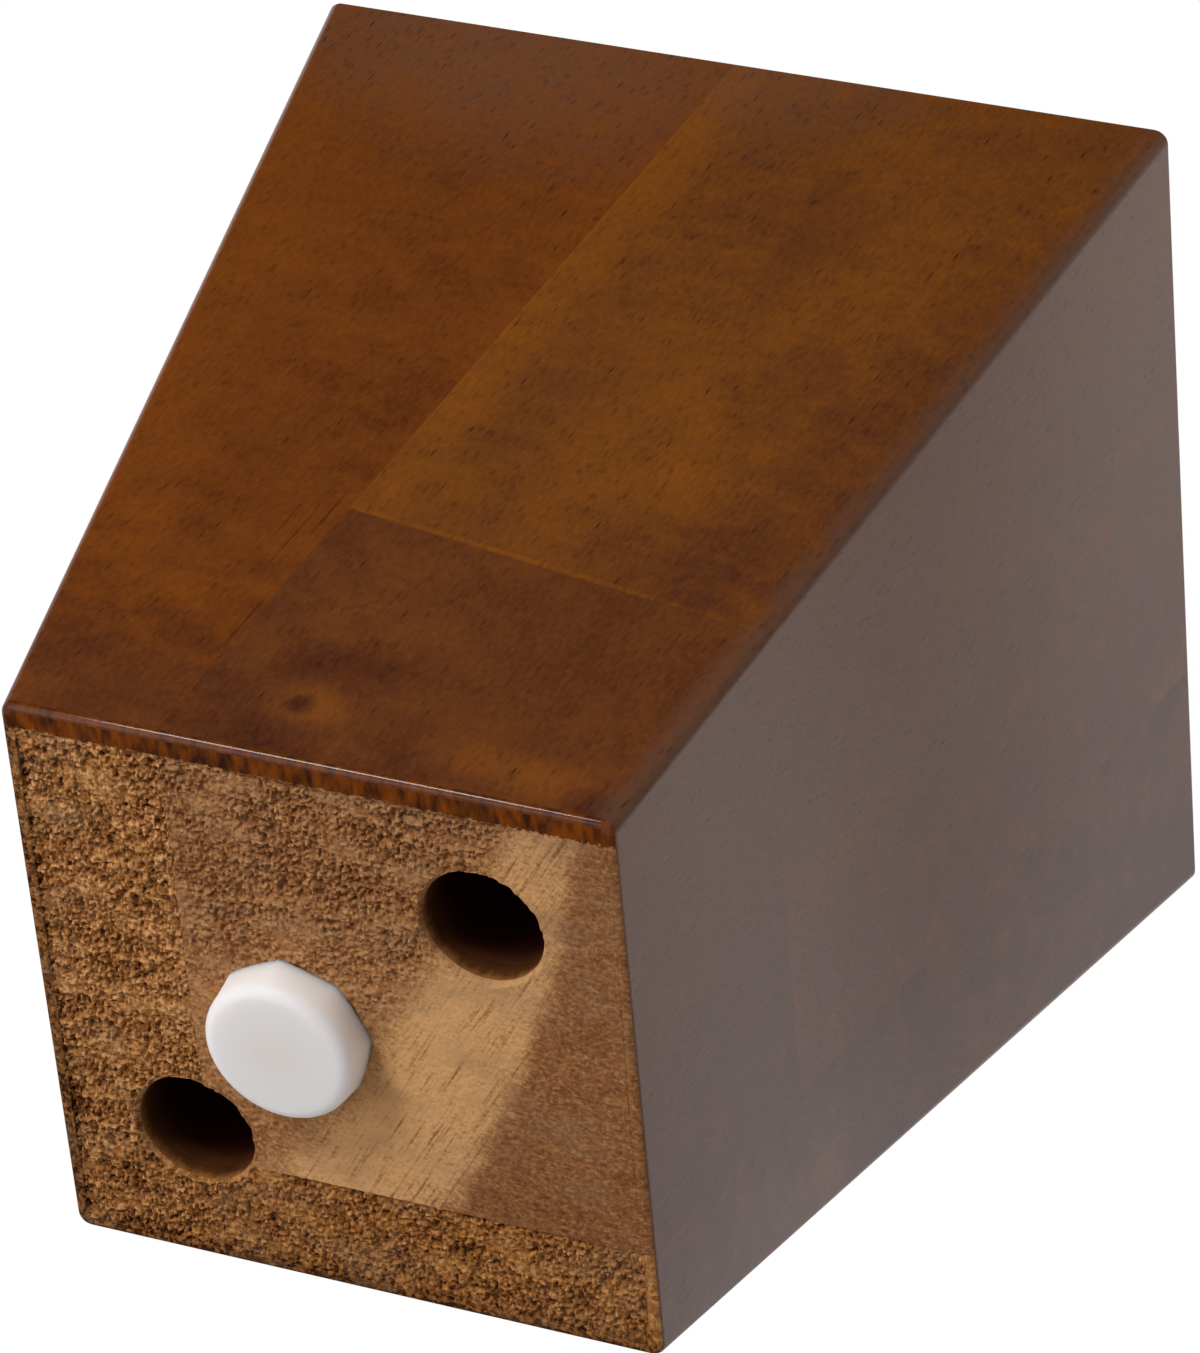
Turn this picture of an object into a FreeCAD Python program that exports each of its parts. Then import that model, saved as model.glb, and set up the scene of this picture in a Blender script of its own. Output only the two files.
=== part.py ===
import FreeCAD, Part
import os
import Sketcher

# Tapered wooden furniture leg. Frame: millimetres, origin at the centre of the mounting face (the
# large end), +Z up out of that face, the small end and its glide below. -Y is the face with the butt
# joint and +X the side that the staves run parallel to.

doc = FreeCAD.newDocument("tapered_leg")
V = FreeCAD.Vector

# Every size that can be changed on its own.
sheet = doc.addObject("Spreadsheet::Sheet", "sizes")
sizes = [
    ("foot_width", 51.0, "small end, across the flats"),
    ("head_width", 75.0, "large end, across the flats"),
    ("wood_length", 85.4, "wood alone, along the axis"),
    ("side_edge_radius", 1.2, "four long edges"),
    ("foot_edge_radius", 0.8, "edges of the small end"),
    ("hole_offset_x", 13.6, "screw holes, from the axis"),
    ("hole_offset_y", 13.1, "screw holes, from the axis"),
    ("counterbore_diameter", 10.0, "takes the screw head and the driver bit"),
    ("shank_hole_diameter", 5.5, "clears a 5 mm wood screw"),
    ("seat_thickness", 25.0, "wood left under the screw head"),
    ("right_stave_width", 37.4, "from the +X side to the long seam, square to it"),
    ("foot_stave_length", 22.0, "along the +X side, up to the butt joint"),
    ("lower_seam_offset", 15.3, "seam over the lower strip, from the axis"),
    ("glide_diameter", 12.6, "nylon disc"),
    ("glide_height", 3.5, "stands proud of the small end"),
    ("glide_edge_radius", 0.6, "rounded rim of the sliding face"),
    ("glide_offset_x", -3.4, "nailed on by hand, off the axis"),
    ("glide_offset_y", 0.5, "nailed on by hand, off the axis"),
    ("nail_cover", 1.1, "nylon between the nail head and the floor"),
    ("nail_head_diameter", 6.5, "steel head inside the nylon"),
    ("nail_head_thickness", 0.9, "steel head inside the nylon"),
    ("nail_shank_diameter", 2.2, "driven into the wood"),
    ("nail_depth", 15.0, "reach of the nail into the wood"),
    ("nail_point_length", 3.0, "cone at the tip"),
]
for row, (alias, value, note) in enumerate(sizes, start=1):
    sheet.set("A%d" % row, alias)
    sheet.set("B%d" % row, str(value))
    sheet.set("C%d" % row, note)
    sheet.setAlias("B%d" % row, alias)

# Worked-out values: the lean of each side, the drilled depth and the length of the raw staves.
derived = [
    ("side_lean", "=atan((head_width - foot_width) / 2 / wood_length)"),
    ("counterbore_depth", "=wood_length - seat_thickness"),
    ("raw_reach", "=2 * (head_width + wood_length)"),
]
for row, (alias, formula) in enumerate(derived, start=len(sizes) + 2):
    sheet.set("A%d" % row, alias)
    sheet.set("B%d" % row, formula)
    sheet.setAlias("B%d" % row, alias)
doc.recompute()


def plane_of(body, role):
    """The origin plane of a body that has the given role."""
    for feature in body.Origin.OriginFeatures:
        if feature.Role == role:
            return feature


def sketch_on(body, name, role):
    """An empty sketch laid on an origin plane of its own body."""
    sketch = body.newObject("Sketcher::SketchObject", name)
    sketch.AttachmentSupport = [(plane_of(body, role), "")]
    sketch.MapMode = "FlatFace"
    return sketch


def draw_square(sketch, width, cell):
    """A square centred on the sketch's origin, its width bound to a cell."""
    h = width / 2
    corners = [V(-h, -h, 0), V(h, -h, 0), V(h, h, 0), V(-h, h, 0)]
    for i in range(4):
        sketch.addGeometry(Part.LineSegment(corners[i], corners[(i + 1) % 4]), False)
    for i in range(4):
        sketch.addConstraint(Sketcher.Constraint("Coincident", i, 2, (i + 1) % 4, 1))
    sketch.addConstraint(Sketcher.Constraint("Horizontal", 0))
    sketch.addConstraint(Sketcher.Constraint("Vertical", 1))
    sketch.addConstraint(Sketcher.Constraint("Horizontal", 2))
    sketch.addConstraint(Sketcher.Constraint("Vertical", 3))
    sketch.addConstraint(Sketcher.Constraint("Equal", 0, 1))
    sketch.addConstraint(Sketcher.Constraint("Symmetric", 0, 1, 1, 2, -1, 1))
    width_index = sketch.addConstraint(Sketcher.Constraint("DistanceX", 0, 1, 0, 2, width))
    sketch.renameConstraint(width_index, "width")
    sketch.setExpression("Constraints.width", cell)


def draw_hole_pair(sketch, diameter, cell):
    """The two screw holes, on a diagonal through the axis."""
    x = sheet.hole_offset_x
    y = sheet.hole_offset_y
    sketch.addGeometry(Part.Circle(V(x, -y, 0), V(0, 0, 1), diameter / 2), False)
    sketch.addGeometry(Part.Circle(V(-x, y, 0), V(0, 0, 1), diameter / 2), False)
    across = sketch.addConstraint(Sketcher.Constraint("DistanceX", -1, 1, 0, 3, x))
    down = sketch.addConstraint(Sketcher.Constraint("DistanceY", 0, 3, -1, 1, y))
    sketch.addConstraint(Sketcher.Constraint("Symmetric", 0, 3, 1, 3, -1, 1))
    sketch.addConstraint(Sketcher.Constraint("Equal", 0, 1))
    size = sketch.addConstraint(Sketcher.Constraint("Diameter", 0, diameter))
    sketch.renameConstraint(across, "across")
    sketch.renameConstraint(down, "down")
    sketch.renameConstraint(size, "size")
    sketch.setExpression("Constraints.across", "sizes.hole_offset_x")
    sketch.setExpression("Constraints.down", "sizes.hole_offset_y")
    sketch.setExpression("Constraints.size", cell)


def edges_where(shape, test):
    """Names of the edges whose two ends both pass a test."""
    names = []
    for index, edge in enumerate(shape.Edges, start=1):
        ends = [vertex.Point for vertex in edge.Vertexes]
        if len(ends) == 2 and test(ends[0], ends[1]):
            names.append("Edge%d" % index)
    return names


# The machined blank: all the staves glued together, tapered on four sides, eased and drilled.
blank = doc.addObject("PartDesign::Body", "leg_blank")
head_square = sketch_on(blank, "head_square", "XY_Plane")
draw_square(head_square, sheet.head_width, "sizes.head_width")
square_bar = blank.newObject("PartDesign::Pad", "square_bar")
square_bar.Profile = head_square
square_bar.Type = "Length"
square_bar.Reversed = True
square_bar.setExpression("Length", "sizes.wood_length")
doc.recompute()

sides = []
for index, face in enumerate(square_bar.Shape.Faces, start=1):
    if abs(face.normalAt(0, 0).z) < 0.001:
        sides.append("Face%d" % index)
taper = blank.newObject("PartDesign::Draft", "four_sided_taper")
taper.Base = (square_bar, sides)
taper.NeutralPlane = (plane_of(blank, "XY_Plane"), [""])
taper.Reversed = True
taper.setExpression("Angle", "sizes.side_lean")
doc.recompute()

long_edges = edges_where(taper.Shape, lambda a, b: abs(a.z - b.z) > 1)
side_rounds = blank.newObject("PartDesign::Fillet", "side_edge_rounds")
side_rounds.Base = (taper, long_edges)
side_rounds.setExpression("Radius", "sizes.side_edge_radius")
doc.recompute()

foot_z = -sheet.wood_length
foot_edges = edges_where(
    side_rounds.Shape,
    lambda a, b: abs(a.z - foot_z) < 0.001 and abs(b.z - foot_z) < 0.001,
)
foot_rounds = blank.newObject("PartDesign::Fillet", "foot_edge_rounds")
foot_rounds.Base = (side_rounds, foot_edges)
foot_rounds.setExpression("Radius", "sizes.foot_edge_radius")
doc.recompute()

counterbore_sketch = sketch_on(blank, "counterbore_circles", "XY_Plane")
counterbore_sketch.setExpression("AttachmentOffset.Base.z", "-sizes.wood_length")
draw_hole_pair(counterbore_sketch, sheet.counterbore_diameter, "sizes.counterbore_diameter")
counterbores = blank.newObject("PartDesign::Pocket", "counterbores")
counterbores.Profile = counterbore_sketch
counterbores.Type = "Length"
counterbores.Reversed = True
counterbores.setExpression("Length", "sizes.counterbore_depth")
doc.recompute()

shank_sketch = sketch_on(blank, "shank_circles", "XY_Plane")
draw_hole_pair(shank_sketch, sheet.shank_hole_diameter, "sizes.shank_hole_diameter")
shank_holes = blank.newObject("PartDesign::Pocket", "shank_holes")
shank_holes.Profile = shank_sketch
shank_holes.Type = "ThroughAll"
doc.recompute()


# A raw stave before machining: a plain bar that leans with the +X side. It starts "inset" inside that
# side and "start" along it from the small end.
def raw_stave(name, inset, start, low_y, thick_x, thick_y, length):
    bar = doc.addObject("Part::Box", name)
    bar.Placement = FreeCAD.Placement(V(0, 0, 0), FreeCAD.Rotation(V(0, 1, 0), 5))
    bar.setExpression("Placement.Rotation.Angle", "sizes.side_lean")
    lean_x = "-(%s) * cos(sizes.side_lean) + (%s) * sin(sizes.side_lean)" % (inset, start)
    lean_z = "(%s) * sin(sizes.side_lean) + (%s) * cos(sizes.side_lean)" % (inset, start)
    bar.setExpression("Placement.Base.x", "sizes.foot_width / 2 + " + lean_x)
    bar.setExpression("Placement.Base.y", low_y)
    bar.setExpression("Placement.Base.z", "-sizes.wood_length + " + lean_z)
    bar.setExpression("Length", thick_x)
    bar.setExpression("Width", thick_y)
    bar.setExpression("Height", length)
    return bar


def machined(name, bar):
    """What the tapering, easing and drilling leave of a raw stave."""
    stave = doc.addObject("Part::Common", name)
    stave.Base = blank
    stave.Tool = bar
    return stave


reach = "sizes.raw_reach"
above_seam = "sizes.lower_seam_offset + sizes.head_width"

# Left stave: everything on the -X side of the long seam.
left_bar = raw_stave(
    "left_bar",
    "sizes.right_stave_width + sizes.raw_reach",
    "-sizes.raw_reach / 2",
    "-sizes.head_width",
    reach,
    "2 * sizes.head_width",
    reach,
)
left_stave = machined("left_stave", left_bar)

# Foot stave: right of the long seam, above the lower strip, from the small end to the butt joint.
foot_bar = raw_stave(
    "foot_bar",
    "sizes.right_stave_width",
    "-sizes.raw_reach / 2",
    "-sizes.head_width",
    reach,
    above_seam,
    "sizes.raw_reach / 2 + sizes.foot_stave_length",
)
foot_common = machined("foot_stave_machined", foot_bar)

# Head stave: the same bar's run beyond the butt joint.
head_bar = raw_stave(
    "head_bar",
    "sizes.right_stave_width",
    "sizes.foot_stave_length",
    "-sizes.head_width",
    reach,
    above_seam,
    reach,
)
head_stave = machined("head_stave", head_bar)

# Lower strip: glued under the foot and head staves along their whole length.
lower_bar = raw_stave(
    "lower_bar",
    "sizes.right_stave_width",
    "-sizes.raw_reach / 2",
    "sizes.lower_seam_offset",
    reach,
    "2 * sizes.head_width",
    reach,
)
lower_strip = machined("lower_strip", lower_bar)
doc.recompute()


def turned_body(name, outline, spans):
    """A body turned about its own Z axis from a half section of straight lines.

    outline: points as (radius, height); spans: constraints as (kind, first point, second point, cell).
    """
    body = doc.addObject("PartDesign::Body", name)
    body.setExpression("Placement.Base.x", "sizes.glide_offset_x")
    body.setExpression("Placement.Base.y", "sizes.glide_offset_y")
    body.setExpression("Placement.Base.z", "-sizes.wood_length")
    sketch = sketch_on(body, name + "_section", "XZ_Plane")
    count = len(outline)
    points = [V(r, z, 0) for r, z in outline]
    for i in range(count):
        sketch.addGeometry(Part.LineSegment(points[i], points[(i + 1) % count]), False)
    for i in range(count):
        sketch.addConstraint(Sketcher.Constraint("Coincident", i, 2, (i + 1) % count, 1))
    for i in range(count):
        a = points[i]
        b = points[(i + 1) % count]
        if abs(a.y - b.y) < 1e-9:
            sketch.addConstraint(Sketcher.Constraint("Horizontal", i))
        elif abs(a.x - b.x) < 1e-9 and abs(a.x) > 1e-9:
            sketch.addConstraint(Sketcher.Constraint("Vertical", i))
    for number, (kind, first, second, cell) in enumerate(spans):
        start = (-1, 1) if first is None else (first, 1)
        end = (-1, 1) if second is None else (second, 1)
        p = V(0, 0, 0) if first is None else points[first]
        q = V(0, 0, 0) if second is None else points[second]
        value = q.x - p.x if kind == "DistanceX" else q.y - p.y
        index = sketch.addConstraint(Sketcher.Constraint(kind, *start, *end, value))
        sketch.renameConstraint(index, "span_%d" % number)
        sketch.setExpression("Constraints.span_%d" % number, cell)
    for i in range(count):
        if abs(points[i].x) < 1e-9:
            sketch.addConstraint(Sketcher.Constraint("PointOnObject", i, 1, -2))
    level = [i for i in range(count) if abs(points[i].y) < 1e-9]
    for i in level[:1]:
        sketch.addConstraint(Sketcher.Constraint("PointOnObject", i, 1, -1))
    doc.recompute()
    turned = body.newObject("PartDesign::Revolution", name + "_turned")
    turned.Profile = sketch
    turned.ReferenceAxis = (sketch, ["V_Axis"])
    turned.Angle = 360.0
    doc.recompute()
    return body, turned


# Nail: a flat steel head and a pointed shank, in one piece.
head_r = sheet.nail_head_diameter / 2
shank_r = sheet.nail_shank_diameter / 2
head_low = sheet.nail_cover - sheet.glide_height
head_high = head_low + sheet.nail_head_thickness
tip = sheet.nail_depth
shoulder = tip - sheet.nail_point_length
nail, nail_turned = turned_body(
    "glide_nail",
    [
        (0, head_low),
        (head_r, head_low),
        (head_r, head_high),
        (shank_r, head_high),
        (shank_r, shoulder),
        (0, tip),
    ],
    [
        ("DistanceY", 0, None, "sizes.glide_height - sizes.nail_cover"),
        ("DistanceX", 0, 1, "sizes.nail_head_diameter / 2"),
        ("DistanceY", 1, 2, "sizes.nail_head_thickness"),
        ("DistanceX", None, 4, "sizes.nail_shank_diameter / 2"),
        ("DistanceY", None, 5, "sizes.nail_depth"),
        ("DistanceY", 4, 5, "sizes.nail_point_length"),
    ],
)

# Glide: a nylon disc moulded round the nail head, flat on the wood, its floor rim rounded.
glide_r = sheet.glide_diameter / 2
low = -sheet.glide_height
glide, glide_turned = turned_body(
    "glide",
    [
        (0, low),
        (glide_r, low),
        (glide_r, 0),
        (shank_r, 0),
        (shank_r, head_high),
        (head_r, head_high),
        (head_r, head_low),
        (0, head_low),
    ],
    [
        ("DistanceY", 0, None, "sizes.glide_height"),
        ("DistanceX", 0, 1, "sizes.glide_diameter / 2"),
        ("DistanceX", None, 3, "sizes.nail_shank_diameter / 2"),
        ("DistanceX", None, 5, "sizes.nail_head_diameter / 2"),
        ("DistanceY", 6, 5, "sizes.nail_head_thickness"),
        ("DistanceY", 0, 7, "sizes.nail_cover"),
    ],
)
rim = []
for index, edge in enumerate(glide_turned.Shape.Edges, start=1):
    circle = edge.Curve
    if not isinstance(circle, Part.Circle):
        continue
    if abs(circle.Radius - glide_r) < 0.001 and edge.BoundBox.ZMax < low + foot_z + 0.001:
        rim.append("Edge%d" % index)
    elif abs(circle.Radius - glide_r) < 0.001 and edge.BoundBox.ZMax < low + 0.001:
        rim.append("Edge%d" % index)
rim_round = glide.newObject("PartDesign::Fillet", "rim_round")
rim_round.Base = (glide_turned, sorted(set(rim)))
rim_round.setExpression("Radius", "sizes.glide_edge_radius")
doc.recompute()

# The nail makes its own hole in the foot stave.
foot_stave = doc.addObject("Part::Cut", "foot_stave")
foot_stave.Base = foot_common
foot_stave.Tool = nail
doc.recompute()

# Every object is up to date and sound before a file is written.
nodes = [left_stave, foot_stave, head_stave, lower_strip, glide, nail]
names = ["left_stave", "foot_stave", "head_stave", "lower_strip", "glide", "glide_nail"]
for item in doc.Objects:
    if "Invalid" in item.State or "Error" in item.State:
        raise RuntimeError(item.Name + " didn't compute: " + ", ".join(item.State))
for item in nodes:
    if item.Shape.isNull() or not item.Shape.isValid() or len(item.Shape.Solids) != 1:
        raise RuntimeError(item.Name + " isn't one sound solid")

os.makedirs("parts", exist_ok=True)
for item, name in zip(nodes, names):
    item.Label = name
    item.Shape.exportStep("parts/" + name + ".step")
    box = item.Shape.BoundBox
    print(name, round(item.Shape.Volume, 2), [round(v, 3) for v in (
        box.XMin, box.XMax, box.YMin, box.YMax, box.ZMin, box.ZMax)])
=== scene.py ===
import math
import bmesh
import bpy
from mathutils import Matrix, Vector, noise


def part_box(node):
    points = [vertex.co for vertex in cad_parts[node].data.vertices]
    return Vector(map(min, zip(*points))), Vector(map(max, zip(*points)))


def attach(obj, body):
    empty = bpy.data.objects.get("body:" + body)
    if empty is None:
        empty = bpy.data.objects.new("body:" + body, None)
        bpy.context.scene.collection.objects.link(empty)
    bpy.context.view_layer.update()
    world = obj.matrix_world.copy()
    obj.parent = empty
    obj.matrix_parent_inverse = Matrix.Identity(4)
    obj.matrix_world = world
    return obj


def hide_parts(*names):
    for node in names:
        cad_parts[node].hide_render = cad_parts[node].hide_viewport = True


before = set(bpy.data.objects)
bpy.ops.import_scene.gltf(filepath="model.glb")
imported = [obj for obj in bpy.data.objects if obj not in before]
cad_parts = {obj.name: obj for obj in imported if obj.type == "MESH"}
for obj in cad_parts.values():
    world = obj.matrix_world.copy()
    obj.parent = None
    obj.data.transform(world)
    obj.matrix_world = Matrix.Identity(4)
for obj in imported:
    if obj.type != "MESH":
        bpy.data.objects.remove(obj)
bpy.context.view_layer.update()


# Glued blank: four lengths of plantation hardwood, edge-glued and end-butted into one thick bar, then
# sawn to a four-sided taper that leans with the +X side. The long edges and the foot's edges are eased
# by sanding; the foot end is left as the saw left it.
mm = 0.001
foot_width = 51.0 * mm
head_width = 75.0 * mm
wood_length = 85.4 * mm
side_edge_radius = 1.2 * mm
foot_edge_radius = 0.5 * mm
head_edge_ease = 0.25 * mm
foot_end_margin = 1.0 * mm
foot_end_cuts = (17, 19)
lean = math.atan((head_width - foot_width) / 2 / wood_length)


def select_where(piece, kind, test):
    """Opens a piece in edit mode with only the vertices, edges or faces selected that pass a test."""
    bpy.ops.object.select_all(action="DESELECT")
    piece.select_set(True)
    bpy.context.view_layer.objects.active = piece
    bpy.ops.object.mode_set(mode="EDIT")
    bpy.ops.mesh.select_mode(type=kind)
    bpy.ops.mesh.select_all(action="DESELECT")
    shape = bmesh.from_edit_mesh(piece.data)
    for part in {"VERT": shape.verts, "EDGE": shape.edges, "FACE": shape.faces}[kind]:
        part.select_set(test(part))
    shape.select_flush_mode()
    bmesh.update_edit_mesh(piece.data)


def at_level(edge, z):
    """Whether both ends of an edge lie at a height."""
    return all(abs(v.co.z - z) < 1e-6 for v in edge.verts)


bpy.ops.object.select_all(action="DESELECT")
bpy.ops.mesh.primitive_cube_add(size=1, location=(0, 0, -wood_length / 2))
blank = bpy.context.object
blank.name = "glued_blank"
blank.scale = (head_width, head_width, wood_length)
bpy.ops.object.transform_apply(location=True, rotation=True, scale=True)

select_where(blank, "VERT", lambda v: v.co.z < -wood_length / 2)
taper = foot_width / head_width
bpy.ops.transform.resize(value=(taper, taper, 1), center_override=(0, 0, 0))
bpy.ops.object.mode_set(mode="OBJECT")

# The foot end is divided into cells of about 0.14 mm, fine enough to carry torn fibres.
select_where(blank, "FACE", lambda f: f.normal.z < -0.9)
bpy.ops.mesh.inset(thickness=foot_end_margin)
for cuts in foot_end_cuts:
    bpy.ops.mesh.subdivide(number_cuts=cuts)
bpy.ops.object.mode_set(mode="OBJECT")

select_where(blank, "EDGE", lambda e: abs(e.verts[0].co.z - e.verts[1].co.z) > wood_length / 2)
bpy.ops.mesh.bevel(offset=side_edge_radius, segments=8, affect="EDGES", clamp_overlap=False)
bpy.ops.object.mode_set(mode="OBJECT")

select_where(
    blank, "EDGE",
    lambda e: at_level(e, -wood_length) and any(f.normal.z > -0.5 for f in e.link_faces),
)
bpy.ops.mesh.bevel(offset=foot_edge_radius, segments=6, affect="EDGES", clamp_overlap=False)
bpy.ops.object.mode_set(mode="OBJECT")

select_where(
    blank, "EDGE",
    lambda e: at_level(e, 0) and any(f.normal.z < 0.5 for f in e.link_faces),
)
bpy.ops.mesh.bevel(offset=head_edge_ease, segments=2, affect="EDGES", clamp_overlap=False)
bpy.ops.mesh.select_all(action="SELECT")
bpy.ops.mesh.normals_make_consistent(inside=False)
bpy.ops.object.mode_set(mode="OBJECT")


# Screw holes: bored from the foot with a 10 mm bit that tears the rim a little, then through to the
# mounting face with a thin drill for the screw's shank. The cutter has the shape of both bits.
hole_offset = Vector((13.6 * mm, -13.1 * mm, 0))
counterbore_radius = 5.0 * mm
shank_radius = 2.75 * mm
seat_thickness = 25.0 * mm
cutter_reach = 6.0 * mm
rim_chip_depth = 0.6 * mm
rim_chip_width = 0.5 * mm

cutters = []
for turn, way in enumerate((1, -1)):
    low = -wood_length - cutter_reach
    bpy.ops.object.select_all(action="DESELECT")
    bpy.ops.mesh.primitive_cylinder_add(
        vertices=180, radius=counterbore_radius, depth=-seat_thickness - low,
        location=(way * hole_offset.x, way * hole_offset.y, (low - seat_thickness) / 2),
    )
    bit = bpy.context.object
    bit.name = "hole_cutter_%d" % turn
    bpy.ops.object.transform_apply(location=True, rotation=True, scale=True)
    select_where(bit, "FACE", lambda f: f.normal.z > 0.9)
    bpy.ops.mesh.inset(thickness=counterbore_radius - shank_radius)
    bpy.ops.mesh.extrude_region_move(
        TRANSFORM_OT_translate={"value": (0, 0, seat_thickness + cutter_reach)}
    )
    # rings near the mouth, to be pushed out where the bit chips the end grain
    for depth in (-rim_chip_depth, 0, rim_chip_depth * 0.3, rim_chip_depth * 0.6, rim_chip_depth):
        bpy.ops.mesh.select_all(action="SELECT")
        bpy.ops.mesh.bisect(plane_co=(0, 0, -wood_length + depth), plane_no=(0, 0, 1), threshold=1e-6)
    bpy.ops.object.mode_set(mode="OBJECT")
    chip = bit.vertex_groups.new(name="chipped_rim")
    for v in bit.data.vertices:
        near_mouth = 1 - (v.co.z + wood_length) / rim_chip_depth
        if 0 < near_mouth < 2.1:
            angle = math.atan2(v.co.y - way * hole_offset.y, v.co.x - way * hole_offset.x)
            ring = Vector((math.cos(angle), math.sin(angle), 0))
            torn = noise.noise(ring * 5 + Vector((0, 0, 5.3 * turn)))
            torn += 0.5 * noise.noise(ring * 12 + Vector((0, 0, 2.1 + 3.7 * turn)))
            chip.add([v.index], min(1, max(0, 0.6 + 0.5 * torn)) * min(1, near_mouth), "REPLACE")
    push = bit.modifiers.new("chipped_rim", "DISPLACE")
    push.direction = "NORMAL"
    push.mid_level = 0
    push.strength = rim_chip_width
    push.vertex_group = "chipped_rim"
    bpy.ops.object.modifier_apply(modifier=push.name)
    cutters.append(bit)


# Left stave: the full-height length of wood on the -X side of the long seam, glued edge to edge to the
# right-hand staves. Its lacquered sides are a dark red-brown with short open pores; its foot end is
# coarse torn end grain all over.
right_stave_width = 37.4 * mm
tear_depth = 0.6 * mm
lacquer_run = 2.0 * mm
side_out = Vector((math.cos(lean), 0, -math.sin(lean)))
side_up = Vector((math.sin(lean), 0, math.cos(lean)))
side_foot = Vector((foot_width / 2, 0, -wood_length))
long_seam = side_foot - right_stave_width * side_out


def cut_stave(name, cuts):
    """A copy of the blank, sawn along each seam: (point on it, its normal, whether that side is kept)."""
    piece = blank.copy()
    piece.data = blank.data.copy()
    piece.name = name
    piece.data.name = name
    bpy.context.collection.objects.link(piece)
    for point, normal, keep_beyond in cuts:
        select_where(piece, "FACE", lambda f: True)
        bpy.ops.mesh.bisect(
            plane_co=point, plane_no=normal, use_fill=True, threshold=1e-6,
            clear_inner=keep_beyond, clear_outer=not keep_beyond,
        )
        bpy.ops.object.mode_set(mode="OBJECT")
    return piece


def bore(piece, bits):
    """Bores the screw holes through a stave."""
    bpy.ops.object.select_all(action="DESELECT")
    bpy.context.view_layer.objects.active = piece
    piece.select_set(True)
    for bit in bits:
        drill = piece.modifiers.new("screw_hole", "BOOLEAN")
        drill.operation = "DIFFERENCE"
        drill.solver = "EXACT"
        drill.object = bit
        bpy.ops.object.modifier_apply(modifier=drill.name)


def tear_end_grain(piece, coarseness, seed):
    """Sinks the gaps between torn fibres into the foot end and keeps their depth for painted shade."""
    foot_half = foot_width / 2 / mm
    gaps = piece.vertex_groups.new(name="torn_fibres")
    depth_of = [0.0] * len(piece.data.vertices)
    for v in piece.data.vertices:
        if abs(v.co.z + wood_length) > 1e-5:
            continue
        # tufts of 0.4 mm, in clumps, rows and wider drifts, and broken up by specks and grit
        x, y = v.co.x / mm, v.co.y / mm
        tuft = noise.voronoi(Vector((x / 0.4, y / 0.42, seed)))[0][0]
        clump = noise.noise(Vector((x / 0.9, y / 0.65, seed + 3)))
        row = noise.noise(Vector((x / 5.5, y / 1.3, seed + 5)))
        speck = noise.noise(Vector((x / 0.25, y / 0.3, seed + 9)))
        grit = noise.cell(Vector((x / 0.21, y / 0.19, seed + 11)))
        drift = noise.noise(Vector((x / 5, y / 2.6, seed + 13)))
        depth = 0.9 * tuft - 0.05 + 0.4 * clump + 0.25 * row + 0.4 * speck + 0.22 * grit
        depth = min(1, max(0, depth)) * coarseness(x, y) * min(1, max(0.4, 0.9 + 0.9 * drift))
        # the lacquer that ran over the edges lies flat
        clear = min(foot_half - 0.5 - max(abs(x), abs(y)), y + foot_half - lacquer_run / mm)
        depth *= min(1, max(0, clear / 0.5))
        depth_of[v.index] = depth
        if depth > 0:
            gaps.add([v.index], depth, "REPLACE")
    torn = piece.data.attributes.new("torn_depth", "FLOAT", "POINT")
    torn.data.foreach_set("value", depth_of)
    sink = piece.modifiers.new("torn_fibres", "DISPLACE")
    sink.direction = "Z"
    sink.mid_level = 0
    sink.strength = tear_depth
    sink.vertex_group = "torn_fibres"
    bpy.ops.object.modifier_apply(modifier=sink.name)


def linear(code):
    """A colour written as an sRGB hex value, as the linear colour that a shader takes."""
    channels = [int(code[i:i + 2], 16) / 255 for i in (1, 3, 5)]
    return [c / 12.92 if c <= 0.04045 else ((c + 0.055) / 1.055) ** 2.4 for c in channels] + [1]


def add(tree, kind, inputs=(), **settings):
    """Adds a node with its settings, and links or sets its inputs."""
    made = tree.nodes.new(kind)
    for name, value in settings.items():
        setattr(made, name, value)
    for socket, value in dict(inputs).items():
        if isinstance(value, bpy.types.NodeSocket):
            tree.links.new(value, made.inputs[socket])
        else:
            made.inputs[socket].default_value = value
    return made


def new_finish(name):
    """A new material, its node tree, its shader, and the place of each point on the object."""
    finish = bpy.data.materials.new(name)
    finish.use_nodes = True
    tree = finish.node_tree
    return finish, tree, tree.nodes["Principled BSDF"], add(tree, "ShaderNodeTexCoord").outputs["Object"]


def three_tones(tree, tone, levels, colours):
    """The colour that goes through three colours as the tone climbs through three levels."""
    made = linear(colours[0])
    for low, high, colour in zip(levels, levels[1:], colours[1:]):
        share = add(tree, "ShaderNodeMapRange", {0: tone, 1: low, 2: high})
        made = add(tree, "ShaderNodeMix", {
            0: share.outputs[0], 6: made, 7: linear(colour),
        }, data_type="RGBA").outputs[2]
    return made


def patch(tree, place, ragged, x, height, half_width, half_length, y=-32, half_depth=24):
    """1 inside a ragged patch of the side, in millimetres and measured up from the foot, and 0 outside."""
    spot = add(tree, "ShaderNodeMapping", {
        "Vector": place, "Location": (x * mm, y * mm, height * mm - wood_length),
        "Rotation": (0, lean, 0), "Scale": (half_width * mm, half_depth * mm, half_length * mm),
    }, vector_type="TEXTURE")
    away = add(tree, "ShaderNodeVectorMath", {0: spot.outputs[0]}, operation="LENGTH")
    away = add(tree, "ShaderNodeMath", {0: away.outputs["Value"], 1: ragged})
    return add(tree, "ShaderNodeMapRange", {
        0: away.outputs[0], 1: 1.4, 2: 0.2,
    }, interpolation_type="SMOOTHSTEP").outputs[0]


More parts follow.
